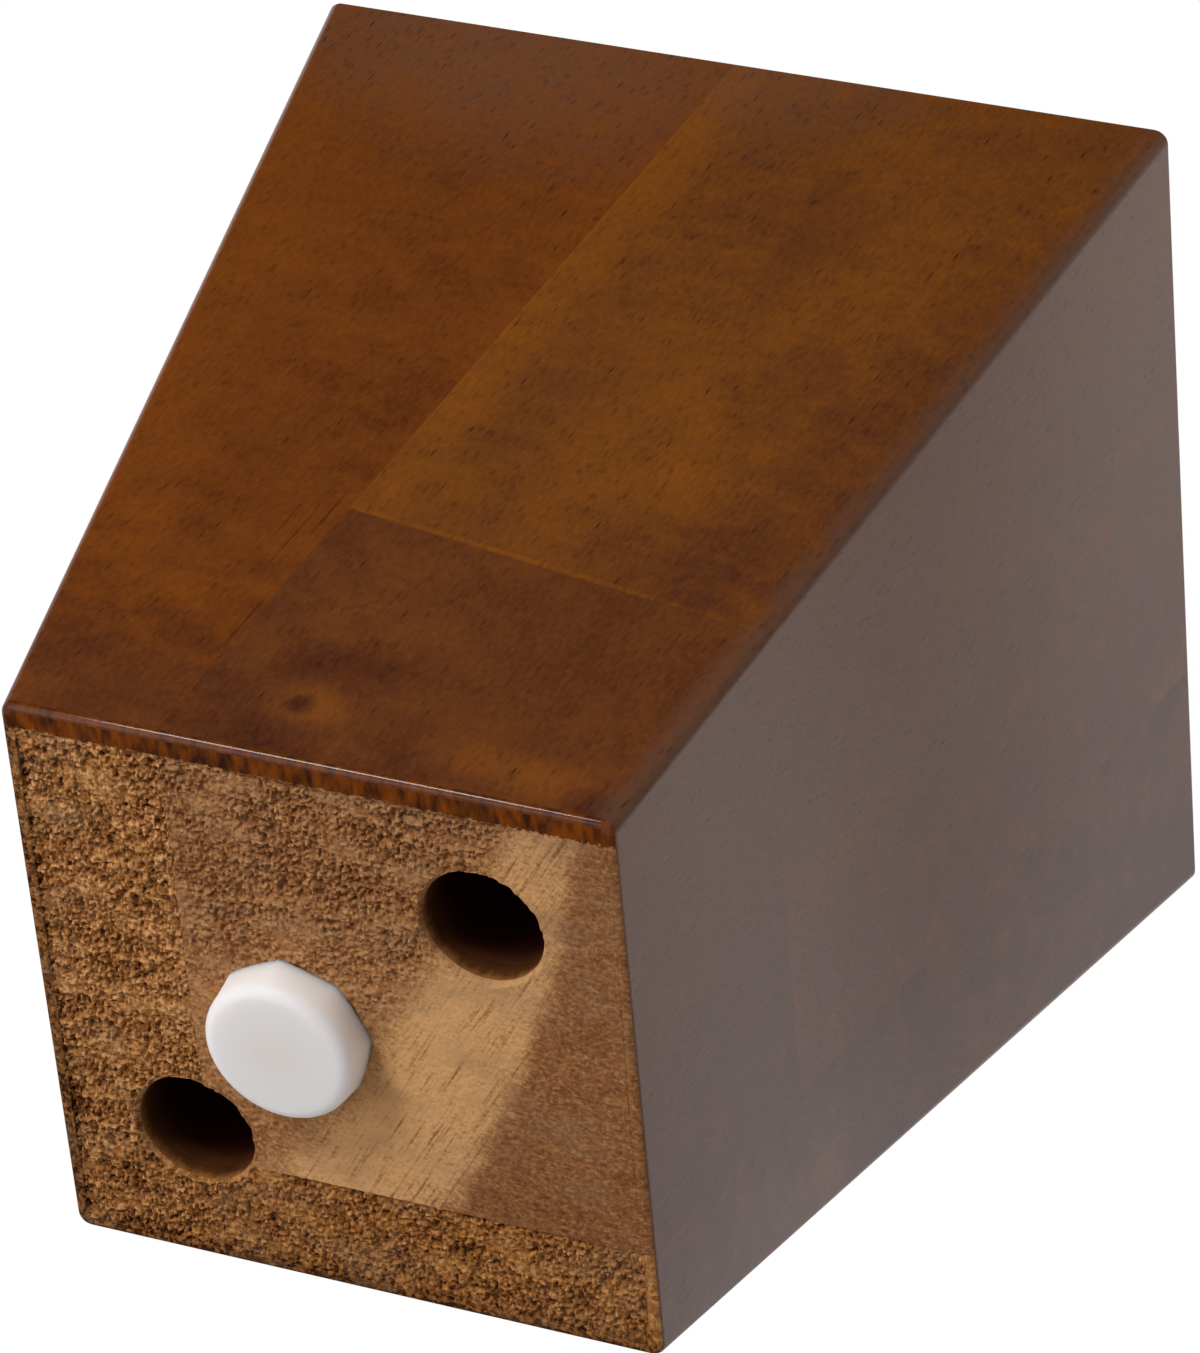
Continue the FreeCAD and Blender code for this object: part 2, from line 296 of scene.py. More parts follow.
def lacquered(name, colours, seed, marks, painted_sheen=()):
    """Stained and lacquered hardwood: a thin brown film over the grain, so the stain shows blotchy,
    the open pores show as short dark dashes along the stave, and the gloss is soft and even. Each
    mark is a patch and how much lighter it is; the film is greyer in each patch of painted sheen."""
    finish, tree, film, place = new_finish(name)
    along = add(tree, "ShaderNodeMapping", {
        "Vector": place, "Rotation": (0, -lean, 0), "Scale": (1000, 1000, 1000),
        "Location": (seed * 31, seed * 17, 0),
    }).outputs[0]
    # each pattern's width, depth and length in millimetres: blotches of stain, bars of lighter wood
    # across the stave, fibres, and dimples of the film over the grain
    grain = {}
    for pattern, size, detail, roughness, distortion in (
        ("blotch", (12, 12, 25), 3, 0.55, 0.6),
        ("figure", (5, 5, 3.2), 4, 0.6, 0.3),
        ("fibre", (0.35, 0.35, 9), 3, 0.6, 0),
        ("dimple", (0.4, 0.4, 0.8), 5, 0.7, 0),
    ):
        sized = add(tree, "ShaderNodeMapping", {"Vector": along, "Scale": [1 / length for length in size]})
        grain[pattern] = add(tree, "ShaderNodeTexNoise", {
            "Vector": sized.outputs[0], "Scale": 1, "Detail": detail, "Roughness": roughness,
            "Distortion": distortion,
        }).outputs[0]
    tone = -0.215
    for pattern, share in (("blotch", 0.35), ("figure", 0.4), ("fibre", 0.13), ("dimple", 0.55)):
        tone = add(tree, "ShaderNodeMath", {
            0: grain[pattern], 1: share, 2: tone,
        }, operation="MULTIPLY_ADD").outputs[0]
    ragged = add(tree, "ShaderNodeMath", {
        0: grain["figure"], 1: 0.9, 2: -0.45,
    }, operation="MULTIPLY_ADD").outputs[0]
    for *spot, amount in marks:
        tone = add(tree, "ShaderNodeMath", {
            0: patch(tree, place, ragged, *spot), 1: amount, 2: tone,
        }, operation="MULTIPLY_ADD").outputs[0]
    colour = three_tones(tree, tone, (0.2, 0.5, 0.8), colours)
    # painted sheen: each patch mixes the colour towards grey-brown, standing in for a haze of gloss
    for *spot, amount in painted_sheen:
        grey = add(tree, "ShaderNodeMath", {
            0: patch(tree, place, ragged, *spot), 1: amount,
        }, operation="MULTIPLY")
        colour = add(tree, "ShaderNodeMix", {
            0: grey.outputs[0], 6: colour, 7: linear("#74523e"),
        }, data_type="RGBA").outputs[2]
    # one pore in each cell of so many millimetres, some faint: dark dashes 0.2 mm wide and up to 1.5 mm
    # long, finer ones between them, and short soft hollows of the film, darkened as painted shade
    faint = add(tree, "ShaderNodeMapRange", {0: grain["figure"], 1: 0.75, 2: 0.3})
    for cell, core, reach, darkness in (
        ((0.75, 0.75, 5), 0.03, 0.18, 1.1),
        ((0.42, 0.42, 3), 0.04, 0.24, 0.55),
        ((0.8, 0.8, 1.5), 0.05, 0.36, 0.5),
    ):
        cells = add(tree, "ShaderNodeMapping", {"Vector": along, "Scale": [1 / length for length in cell]})
        pore = add(tree, "ShaderNodeTexVoronoi", {"Vector": cells.outputs[0], "Scale": 1})
        hollow = add(tree, "ShaderNodeMapRange", {
            0: pore.outputs["Distance"], 1: core, 2: reach, 3: darkness, 4: 0,
        })
        hollow = add(tree, "ShaderNodeMath", {
            0: hollow.outputs[0], 1: faint.outputs[0],
        }, operation="MULTIPLY", use_clamp=True)
        colour = add(tree, "ShaderNodeMix", {
            0: hollow.outputs[0], 6: colour, 7: linear("#351a0d"),
        }, data_type="RGBA").outputs[2]
    tree.links.new(colour, film.inputs["Base Color"])
    film.inputs["Roughness"].default_value = 0.26
    film.inputs["IOR"].default_value = 1.18
    film_height = add(tree, "ShaderNodeMath", {
        0: hollow.outputs[0], 1: -1, 2: grain["dimple"],
    }, operation="MULTIPLY_ADD")
    relief = add(tree, "ShaderNodeBump", {
        "Height": film_height.outputs[0], "Strength": 0.42, "Distance": 0.06 * mm,
    })
    tree.links.new(relief.outputs[0], film.inputs["Normal"])
    return finish


def raw_end(name, colours, seed, flake_share, grades):
    """Bare sawn end grain: matt, dry and tan, pale on the tips of torn fibres and brown in the gaps
    between them, darker the deeper the gap, which is painted shade. Along the foot's -Y edge the
    lacquer has run over it and shows dark amber and glossy."""
    finish, tree, wood, place = new_finish(name)
    foot_half = foot_width / 2
    spread = add(tree, "ShaderNodeMapping", {
        "Vector": place, "Scale": (1000, 1000, 1000), "Location": (seed * 13, seed * 29, 0),
    }).outputs[0]
    # specks and flakes of 0.3 mm, and clouds of 6 mm
    small = add(tree, "ShaderNodeMapping", {"Vector": spread, "Scale": (1 / 0.42, 1 / 0.3, 1 / 0.5)})
    speck = add(tree, "ShaderNodeTexNoise", {
        "Vector": small.outputs[0], "Scale": 1, "Detail": 6, "Roughness": 0.72,
    })
    flakes = add(tree, "ShaderNodeMapping", {"Vector": spread, "Scale": (1 / 0.3, 1 / 0.34, 0)})
    flake = add(tree, "ShaderNodeTexVoronoi", {"Vector": flakes.outputs[0], "Scale": 1})
    flake = add(tree, "ShaderNodeSeparateXYZ", {0: flake.outputs["Color"]}).outputs["X"]
    flake = add(tree, "ShaderNodeMapRange", {0: flake, 3: -0.25 * flake_share, 4: 0.25 * flake_share})
    large = add(tree, "ShaderNodeMapping", {"Vector": spread, "Scale": (1 / 7, 1 / 4, 1 / 6)})
    cloud = add(tree, "ShaderNodeTexNoise", {"Vector": large.outputs[0], "Scale": 1, "Detail": 3})
    # the depth of each torn gap: the deeper, the darker, as painted shade
    gap = add(tree, "ShaderNodeAttribute", attribute_name="torn_depth").outputs["Fac"]
    part = add(tree, "ShaderNodeSeparateXYZ", {0: place})
    # the head end is plain: only the foot end is torn, run over by lacquer and given painted shade
    at_foot = add(tree, "ShaderNodeMapRange", {
        0: part.outputs["Z"], 1: -wood_length + 4 * mm, 2: -wood_length + 2 * mm,
    }).outputs[0]
    torn = add(tree, "ShaderNodeMath", {0: flake.outputs[0], 1: at_foot}, operation="MULTIPLY")
    # painted shade: darker towards the foot end's -X and +Y edges, and a little darker towards +Y
    left = add(tree, "ShaderNodeMath", {0: part.outputs["X"], 1: -1}, operation="MULTIPLY")
    edge = add(tree, "ShaderNodeMath", {0: left.outputs[0], 1: part.outputs["Y"]}, operation="MAXIMUM")
    edge = add(tree, "ShaderNodeMapRange", {
        0: edge.outputs[0], 1: foot_half - 1.7 * mm, 2: foot_half - 0.2 * mm, 3: 0, 4: -0.42,
    })
    painted_shade_to_plus_y = add(tree, "ShaderNodeMapRange", {
        0: part.outputs["Y"], 1: 2 * mm, 2: 25 * mm, 3: 0, 4: -0.1,
    })
    edge = add(tree, "ShaderNodeMath", {0: edge.outputs[0], 1: painted_shade_to_plus_y.outputs[0]})
    edge = add(tree, "ShaderNodeMath", {0: edge.outputs[0], 1: at_foot}, operation="MULTIPLY")
    tone = -0.06
    for source, share in (
        (speck.outputs[0], 1.1), (cloud.outputs[0], 0.3), (gap, -0.42),
        (torn.outputs[0], 1), (edge.outputs[0], 1),
    ):
        tone = add(tree, "ShaderNodeMath", {
            0: source, 1: share, 2: tone,
        }, operation="MULTIPLY_ADD").outputs[0]
    for grade in grades:
        tone = grade(tree, place, tone)
    # a rim of broken fibres, about 0.6 mm wide, round each hole
    mouth_radius = counterbore_radius / mm
    for way in (1, -1):
        mouth = add(tree, "ShaderNodeMapping", {
            "Vector": place, "Location": (way * hole_offset.x, way * hole_offset.y, 0),
            "Scale": (mm, mm, 1000),
        }, vector_type="TEXTURE")
        away = add(tree, "ShaderNodeVectorMath", {0: mouth.outputs[0]}, operation="LENGTH")
        away = add(tree, "ShaderNodeMath", {
            0: speck.outputs[0], 1: 1.2, 2: away.outputs["Value"],
        }, operation="MULTIPLY_ADD")
        rim = add(tree, "ShaderNodeMapRange", {
            0: away.outputs[0], 1: mouth_radius + 1.4, 2: mouth_radius + 0.9, 3: 0, 4: -0.06,
        })
        tone = add(tree, "ShaderNodeMath", {
            0: rim.outputs[0], 1: at_foot, 2: tone,
        }, operation="MULTIPLY_ADD").outputs[0]
    colour = three_tones(tree, tone, (0.1, 0.5, 1.0), colours)
    # greyer clouds where dust has settled in the fibres
    dust = add(tree, "ShaderNodeMapRange", {0: cloud.outputs[0], 1: 0.48, 2: 0.72, 3: 0, 4: 0.4})
    colour = add(tree, "ShaderNodeMix", {
        0: dust.outputs[0], 6: colour, 7: linear("#6e5844"),
    }, data_type="RGBA").outputs[2]
    # lacquer creeps about 2 mm in from the -Y edge, with a ragged border
    ragged = add(tree, "ShaderNodeMath", {
        0: speck.outputs[0], 1: 1.5 * mm, 2: part.outputs["Y"],
    }, operation="MULTIPLY_ADD")
    creep = add(tree, "ShaderNodeMapRange", {
        0: ragged.outputs[0],
        1: -foot_half + lacquer_run + 1.0 * mm, 2: -foot_half + lacquer_run + 0.8 * mm,
    })
    creep = add(tree, "ShaderNodeMath", {0: creep.outputs[0], 1: at_foot}, operation="MULTIPLY")
    runs = add(tree, "ShaderNodeMapping", {"Vector": spread, "Scale": (1 / 0.8, 1 / 2.5, 1)})
    run = add(tree, "ShaderNodeTexNoise", {"Vector": runs.outputs[0], "Scale": 1, "Detail": 4})
    run = add(tree, "ShaderNodeMapRange", {0: run.outputs[0], 1: 0.35, 2: 0.68})
    amber = add(tree, "ShaderNodeMix", {
        0: run.outputs[0], 6: linear("#2c0f00"), 7: linear("#7a3a00"),
    }, data_type="RGBA")
    colour = add(tree, "ShaderNodeMix", {
        0: creep.outputs[0], 6: colour, 7: amber.outputs[2],
    }, data_type="RGBA")
    tree.links.new(colour.outputs[2], wood.inputs["Base Color"])
    gloss = add(tree, "ShaderNodeMapRange", {0: creep.outputs[0], 3: 0.85, 4: 0.35})
    tree.links.new(gloss.outputs[0], wood.inputs["Roughness"])
    wood.inputs["IOR"].default_value = 1.1
    relief = add(tree, "ShaderNodeBump", {
        "Height": speck.outputs[0], "Strength": 0.8, "Distance": 0.15 * mm,
    })
    tree.links.new(relief.outputs[0], wood.inputs["Normal"])
    return finish


def lacquer_bead(name):
    """The thick bead of lacquer on the foot's -Y edge: dark amber, and glossier than the sides, so that
    it draws a thin bright line along the edge. Its runs are 0.8 mm wide."""
    finish, tree, bead, place = new_finish(name)
    runs = add(tree, "ShaderNodeMapping", {"Vector": place, "Scale": (1250, 330, 330)})
    run = add(tree, "ShaderNodeTexNoise", {"Vector": runs.outputs[0], "Scale": 1, "Detail": 4})
    run = add(tree, "ShaderNodeMapRange", {0: run.outputs[0], 1: 0.35, 2: 0.68})
    colour = add(tree, "ShaderNodeMix", {
        0: run.outputs[0], 6: linear("#451d05"), 7: linear("#6b3508"),
    }, data_type="RGBA")
    tree.links.new(colour.outputs[2], bead.inputs["Base Color"])
    bead.inputs["Roughness"].default_value = 0.12
    bead.inputs["IOR"].default_value = 1.24
    return finish


def bored(name):
    """Bored wood, brown with fine rings from the bit's edge. Its first millimetre is tan with a ragged,
    fuzzy border, painted light near the mouth; deeper in it turns nearly black, painted shade."""
    finish, tree, wall, place = new_finish(name)
    rings = add(tree, "ShaderNodeMapping", {"Vector": place, "Scale": (350, 350, 2500)})
    cut = add(tree, "ShaderNodeTexNoise", {"Vector": rings.outputs[0], "Scale": 1, "Detail": 3})
    height = add(tree, "ShaderNodeSeparateXYZ", {0: place}).outputs["Z"]
    fuzz = add(tree, "ShaderNodeMapping", {"Vector": place, "Scale": (1600, 1600, 500)})
    frayed = add(tree, "ShaderNodeTexNoise", {"Vector": fuzz.outputs[0], "Scale": 1, "Detail": 3})
    colour = add(tree, "ShaderNodeMix", {
        0: cut.outputs[0], 6: linear("#2e1607"), 7: linear("#5a3619"),
    }, data_type="RGBA")
    ragged_height = add(tree, "ShaderNodeMath", {
        0: frayed.outputs[0], 1: -1.6 * mm, 2: height,
    }, operation="MULTIPLY_ADD")
    # painted light on the wall near the mouth, then painted shade deepening to nearly black
    for start, end, tint, source in (
        (0.9, -0.6, "#8a5a2c", ragged_height.outputs[0]), (0.6, 5, "#220904", height),
    ):
        share = add(tree, "ShaderNodeMapRange", {
            0: source, 1: -wood_length + start * mm, 2: -wood_length + end * mm,
        }, interpolation_type="SMOOTHSTEP")
        colour = add(tree, "ShaderNodeMix", {
            0: share.outputs[0], 6: colour.outputs[2], 7: linear(tint),
        }, data_type="RGBA")
    tree.links.new(colour.outputs[2], wall.inputs["Base Color"])
    wall.inputs["Roughness"].default_value = 0.9
    wall.inputs["IOR"].default_value = 1.1
    return finish


def dress_stave(piece, side_finish, end_finish):
    """Lacquer on the outside, bare wood on ends and in seams, painted light and shade in the holes."""
    piece.data.materials.clear()
    for finish in (side_finish, end_finish, hole_wall, foot_bead):
        piece.data.materials.append(finish)
    for face in piece.data.polygons:
        # each face is told apart by its height over the foot, its distance in from the sides and its slope
        x, y, z = face.center
        height = z + wood_length
        half = (foot_width + (head_width - foot_width) * height / wood_length) / 2
        edge = half - max(abs(x), abs(y))
        at_front = y < -foot_width / 2 + side_edge_radius
        at_end = face.normal.z < -0.3 and height < 0.7 * mm and (
            edge > 0.85 * mm or face.normal.z < -0.55 and not at_front
        )
        in_hole = height > 0.3 * mm and z < -0.02 * mm and not at_end and any(
            math.hypot(x - way * hole_offset.x, y - way * hole_offset.y) < counterbore_radius + 0.3 * mm
            for way in (1, -1)
        )
        bare = at_end or edge > 1.5 * mm or face.normal.z > 0.9
        on_bead = height < foot_edge_radius * 0.92 and at_front and not at_end
        face.material_index = 2 if in_hole else 3 if on_bead else 1 if bare else 0
    bpy.ops.object.select_all(action="DESELECT")
    piece.select_set(True)
    bpy.context.view_layer.objects.active = piece
    bpy.ops.object.shade_smooth_by_angle(angle=math.radians(40))


hole_wall = bored("hole_wall_painted_light_and_shade")
foot_bead = lacquer_bead("lacquer_bead")
left_stave = cut_stave("left_stave_wood", [(long_seam, side_out, False)])
bore(left_stave, [cutters[1]])
tear_end_grain(left_stave, lambda x, y: 1.0, 3.0)
# marks: x, height, half width, half length, then y and half depth where it is on another side, amount
# the second list gives patches of painted sheen on the -Y face, near the head and at the foot
left_side = lacquered("stained_hardwood_red", ("#50260d", "#6d3811", "#804510"), 1.0, [
    (-17.3, 16.8, 7, 11, 0.04), (-16, 2.5, 20, 13, -0.27), (-29, 44, 6, 18, 0.08), (-13, 60, 8, 12, -0.06),
    (-9.8, 26, 0.13, 3.2, -0.3), (-11.4, 23, 0.12, 3, -0.3), (-12.6, 25, 0.1, 2.5, -0.25),
    (-10.9, 13, 0.12, 2.6, -0.3), (-16, 34, 8, 16, -0.08), (-9.5, 37, 5, 8, -0.09),
], [(-20, 86, 26, 16, 0.42), (-16, 1, 24, 10, 0.1)])
left_end = raw_end("torn_end_grain_left", ("#35190a", "#a06a3a", "#e8b27a"), 2.0, 0.8, [])
dress_stave(left_stave, left_side, left_end)
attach(left_stave, "root")
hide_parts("left_stave")


# Foot stave: the short dark length at the foot of the right-hand side, with a small knot low on its -Y
# face. Its end grain is torn only towards the left and the top; a pale band of sapwood crosses the rest,
# which the saw left smooth.
foot_stave_length = 22.0 * mm
lower_seam_offset = 15.3 * mm
butt_joint = side_foot + foot_stave_length * side_up
lower_seam = Vector((0, lower_seam_offset, 0))
# the pale band, in millimetres: the x of its middle slopes and bows with y, and it widens with y
band_middle, band_slope, band_bow = 9.63, -0.568, -0.0044
band_half, band_widening = 5.9, 0.128


def foot_coarseness(x, y):
    """How far the fibres are torn: fully at the top left, hardly at all on and beyond the pale band."""
    band_left = band_middle + band_slope * y + band_bow * y * y - (band_half + band_widening * y)
    left_of_band = min(1, max(0, (band_left - x) / 3 + 0.2))
    calm = min(1, max(0, (y + 11) / 10))
    return 0.1 + left_of_band * (0.85 - 0.6 * calm)


def sapwood_band(tree, place, tone):
    """The pale band and its dark fibre lines, and the saw scratches to the right of it."""
    flat = add(tree, "ShaderNodeMapping", {"Vector": place, "Scale": (1000, 1000, 1000)}).outputs[0]
    sway = add(tree, "ShaderNodeTexNoise", {"Vector": flat, "Scale": 0.35, "Detail": 4})
    part = add(tree, "ShaderNodeSeparateXYZ", {0: flat})
    x, y = part.outputs["X"], part.outputs["Y"]
    middle = add(tree, "ShaderNodeMath", {0: y, 1: band_bow, 2: band_slope}, operation="MULTIPLY_ADD")
    middle = add(tree, "ShaderNodeMath", {
        0: middle.outputs[0], 1: y, 2: band_middle,
    }, operation="MULTIPLY_ADD")
    off = add(tree, "ShaderNodeMath", {0: x, 1: middle.outputs[0]}, operation="SUBTRACT")
    off = add(tree, "ShaderNodeMath", {
        0: sway.outputs[0], 1: 3.0, 2: off.outputs[0],
    }, operation="MULTIPLY_ADD")
    half = add(tree, "ShaderNodeMath", {0: y, 1: band_widening, 2: band_half}, operation="MULTIPLY_ADD")
    share = add(tree, "ShaderNodeMath", {0: off.outputs[0], 1: half.outputs[0]}, operation="DIVIDE")
    left = add(tree, "ShaderNodeMapRange", {
        0: share.outputs[0], 1: -1.0, 2: -0.1,
    }, interpolation_type="SMOOTHSTEP")
    right = add(tree, "ShaderNodeMapRange", {
        0: share.outputs[0], 1: 1.5, 2: 1.0,
    }, interpolation_type="SMOOTHSTEP")
    band = add(tree, "ShaderNodeMath", {0: left.outputs[0], 1: right.outputs[0]}, operation="MULTIPLY")
    paler = add(tree, "ShaderNodeMapRange", {0: y, 1: -24, 2: -4, 3: 0.27, 4: 0.49})
    beyond = add(tree, "ShaderNodeMapRange", {0: share.outputs[0], 1: 0.9, 2: 1.3})
    torn_side = add(tree, "ShaderNodeMapRange", {0: share.outputs[0], 1: 1.2, 2: -1.0, 3: -0.13, 4: 0.06})
    tone = add(tree, "ShaderNodeMath", {0: tone, 1: torn_side.outputs[0]})
    tone = add(tree, "ShaderNodeMath", {
        0: band.outputs[0], 1: paler.outputs[0], 2: tone.outputs[0],
    }, operation="MULTIPLY_ADD")
    # fibre lines along the band, up to 7 mm long, with finer ones between; saw scratches beyond it
    for turn, size, lowest, highest, least, most, where in (
        (-31, (1 / 0.3, 1 / 7, 1), 0.52, 0.72, 0, -0.36, band.outputs[0]),
        (-31, (1 / 0.14, 1 / 2.5, 1), 0.3, 0.7, -0.1, 0.1, band.outputs[0]),
        (-3, (1 / 9, 1 / 0.4, 1), 0.45, 0.75, -0.02, 0.1, beyond.outputs[0]),
    ):
        turned = add(tree, "ShaderNodeMapping", {
            "Vector": flat, "Rotation": (0, 0, math.radians(turn)), "Scale": (1, 1, 0),
        })
        drawn_out = add(tree, "ShaderNodeMapping", {"Vector": turned.outputs[0], "Scale": size})
        line = add(tree, "ShaderNodeTexNoise", {"Vector": drawn_out.outputs[0], "Scale": 1, "Detail": 2})
        line = add(tree, "ShaderNodeMapRange", {
            0: line.outputs[0], 1: lowest, 2: highest, 3: least, 4: most,
        })
        tone = add(tree, "ShaderNodeMath", {
            0: line.outputs[0], 1: where, 2: tone.outputs[0],
        }, operation="MULTIPLY_ADD")
    return tone.outputs[0]


foot_stave = cut_stave("foot_stave_wood", [
    (long_seam, side_out, True), (butt_joint, side_up, False), (lower_seam, (0, 1, 0), False),
])
bore(foot_stave, cutters)
tear_end_grain(foot_stave, foot_coarseness, 21.0)
# the last mark darkens the +X side, painted shade; the second list is painted sheen on +X
foot_side = lacquered("stained_hardwood_dark", ("#422013", "#5e3318", "#764117"), 4.0, [
    (-1.9, 10, 5.2, 3.6, -0.22), (-2.3, 6.0, 3.8, 2.7, 0.32), (-2.6, 5.8, 1.3, 1.0, -0.4),
    (17, 3.2, 8, 2.4, 0.3), (22.8, 1.6, 3, 1.6, -0.25), (-4, 2.5, 12, 5, -0.13),
    (28, 10, 4, 40, 0, 60, -0.25),
], [(28, 10, 3, 60, -28, 36, 0.58)])
foot_end = raw_end("sawn_end_grain_foot", ("#3a1f0d", "#8a5a36", "#cc9a67"), 5.0, 0.35, [sapwood_band])
dress_stave(foot_stave, foot_side, foot_end)
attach(foot_stave, "root")
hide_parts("foot_stave")


# Head stave: the golden length behind the butt joint, at the thick end of the right-hand side. Glue
# squeezed from its seams takes the stain badly, so they show as thin pale lines.
head_stave = cut_stave("head_stave_wood", [
    (long_seam, side_out, True), (butt_joint, side_up, True), (lower_seam, (0, 1, 0), False),
])
bore(head_stave, [cutters[0]])
# the last mark darkens the +X side, painted shade; the second list is painted sheen on -Y and +X
head_side = lacquered("stained_hardwood_gold", ("#4f2a19", "#6c3c15", "#854a12"), 7.0, [
    (12.7, 40, 8, 18, 0.12), (19.3, 59, 4, 10, 0.08), (1, 46, 5, 11, -0.06), (19.3, 48.5, 4.5, 9, -0.13),
    (28.5, 38, 7, 26, -0.12), (14, 67, 11, 4, -0.06), (19, 27, 9, 8, -0.19), (-3.2, 56, 3.2, 42, 0.12),
    (-4.2, 57, 0.25, 40, 0.08), (10.2, 24.7, 21, 0.25, 0.14), (34, 50, 3.5, 80, 0, 60, -0.3),
], [(4, 88, 14, 12, 0.3), (34, 50, 3, 90, -28, 36, 0.62)])
head_end = raw_end("sawn_end_grain_head", ("#5a3519", "#8f6038", "#c2935f"), 8.0, 0.3, [])
dress_stave(head_stave, head_side, head_end)
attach(head_stave, "root")
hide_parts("head_stave")


# Lower strip: the plain length of wood glued under the two right-hand staves, as long as the leg. Its
# foot end is torn nearly as coarsely as the left stave's.
lower_strip = cut_stave("lower_strip_wood", [
    (long_seam, side_out, True), (lower_seam, (0, 1, 0), True),
])
bore(lower_strip, [cutters[1]])
tear_end_grain(lower_strip, lambda x, y: 0.85, 41.0)
# the mark darkens the +X side, painted shade under its sheen
lower_side = lacquered("stained_hardwood_plain", ("#452316", "#623518", "#764117"), 11.0, [
    (34, 40, 8, 90, 30, 40, -0.25),
])
lower_end = raw_end("torn_end_grain_lower", ("#33190a", "#9a6434", "#dca468"), 12.0, 0.75, [])
dress_stave(lower_strip, lower_side, lower_end)
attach(lower_strip, "root")
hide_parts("lower_strip")

for spent in cutters + [blank]:
    bpy.data.objects.remove(spent, do_unlink=True)


# Glide: a disc of white nylon, moulded round the head of its nail, with a soft rim and a flat sliding
# face. Its foot against the wood has eight blunt corners. It is nailed on by hand, a little off the
# middle of the leg.
glide_low, glide_high = (Vector(corner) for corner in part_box("glide"))
glide_middle = (glide_low + glide_high) / 2
glide_radius = (glide_high.x - glide_low.x) / 2
glide_height = glide_high.z - glide_low.z
glide_rim_radius = 1.1 * mm
glide_corner_reach = 0.5 * mm
first_corner, half_flat = -5, 360 / 8 / 2
nail_head_radius = 3.4 * mm
bpy.ops.object.select_all(action="DESELECT")
bpy.ops.mesh.primitive_cylinder_add(
    vertices=120, radius=glide_radius, depth=glide_height, location=glide_middle
)
glide = bpy.context.object
glide.name = "nylon_glide"
bpy.ops.object.transform_apply(location=True, rotation=True, scale=True)
select_where(glide, "EDGE", lambda e: at_level(e, glide_low.z))
bpy.ops.mesh.bevel(offset=glide_rim_radius, segments=10, affect="EDGES")
bpy.ops.object.mode_set(mode="OBJECT")
corners = glide.vertex_groups.new(name="blunt_corners")
for v in glide.data.vertices:
    if v.co.z > glide_high.z - 1e-6:
        angle = math.degrees(math.atan2(v.co.y - glide_middle.y, v.co.x - glide_middle.x))
        from_corner = (angle - first_corner + half_flat) % (2 * half_flat) - half_flat
        off_flat = math.radians(half_flat - abs(from_corner))
        reach = (1 / math.cos(off_flat) - 1) / (1 / math.cos(math.radians(half_flat)) - 1)
        corners.add([v.index], reach, "REPLACE")
swell = glide.modifiers.new("blunt_corners", "DISPLACE")
swell.direction = "NORMAL"
swell.mid_level = 0
swell.strength = glide_corner_reach
swell.vertex_group = "blunt_corners"
bpy.ops.object.modifier_apply(modifier=swell.name)

# moulded nylon: milky, so light spreads in it and its edges glow, with a soft gloss
nylon, tree, body, place = new_finish("moulded_white_nylon")
disc = add(tree, "ShaderNodeMapping", {
    "Vector": place, "Location": (glide_middle.x, glide_middle.y, 0),
    "Scale": (nail_head_radius, nail_head_radius, 1000),
}, vector_type="TEXTURE")
off_axis = add(tree, "ShaderNodeVectorMath", {0: disc.outputs[0]}, operation="LENGTH")
over_nail = add(tree, "ShaderNodeMapRange", {
    0: off_axis.outputs["Value"], 1: 1.1, 2: 0.1,
}, interpolation_type="SMOOTHSTEP")
# the nail head shows through the nylon as a faint warm shadow
milk = add(tree, "ShaderNodeMix", {
    0: over_nail.outputs[0], 6: linear("#dedada"), 7: linear("#dcd4d0"),
}, data_type="RGBA")
# painted light: the side wall is given the lightest colour, for light glowing through thin nylon
depth = add(tree, "ShaderNodeSeparateXYZ", {0: place}).outputs["Z"]
at_wall = add(tree, "ShaderNodeMapRange", {
    0: depth, 1: -wood_length - 3.2 * mm, 2: -wood_length - 2.2 * mm,
}, interpolation_type="SMOOTHSTEP")
milk = add(tree, "ShaderNodeMix", {
    0: at_wall.outputs[0], 6: milk.outputs[2], 7: linear("#f0e9e5"),
}, data_type="RGBA")
tree.links.new(milk.outputs[2], body.inputs["Base Color"])
body.inputs["Roughness"].default_value = 0.5
body.inputs["IOR"].default_value = 1.4
body.inputs["Subsurface Weight"].default_value = 1
body.inputs["Subsurface Radius"].default_value = (1, 0.9, 0.85)
body.inputs["Subsurface Scale"].default_value = 3 * mm
glide.data.materials.append(nylon)
bpy.ops.object.shade_smooth_by_angle(angle=math.radians(50))
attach(glide, "root")
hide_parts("glide")


# Nail: drawn from steel wire, with its head inside the nylon and its shank driven into the foot stave.
# It is seen only as a shadow in the glide, so the solid of the frame shows as it is.
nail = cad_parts["glide_nail"]
# drawn steel: bright and grey, with fine scuffs along the wire
steel, tree, metal, place = new_finish("bright_drawn_steel")
drawn = add(tree, "ShaderNodeMapping", {"Vector": place, "Scale": (5000, 5000, 200)})
scuff = add(tree, "ShaderNodeTexNoise", {"Vector": drawn.outputs[0], "Scale": 1, "Detail": 2})
shade = add(tree, "ShaderNodeMix", {
    0: scuff.outputs[0], 6: linear("#8f9194"), 7: linear("#c4c6c9"),
}, data_type="RGBA")
tree.links.new(shade.outputs[2], metal.inputs["Base Color"])
metal.inputs["Metallic"].default_value = 1
metal.inputs["Roughness"].default_value = 0.35
nail.data.materials.clear()
nail.data.materials.append(steel)


# Floor: a plain pale sheet under the glide. It is seen only from above, and it lets the light through
# from below, because the photograph looks up at the foot.
floor_size = 8
bpy.ops.object.select_all(action="DESELECT")
bpy.ops.mesh.primitive_grid_add(
    x_subdivisions=2, y_subdivisions=2, size=floor_size, location=(0, 0, glide_low.z)
)
floor = bpy.context.object
floor.name = "pale_floor"
bpy.ops.object.transform_apply(location=True, rotation=True, scale=True)
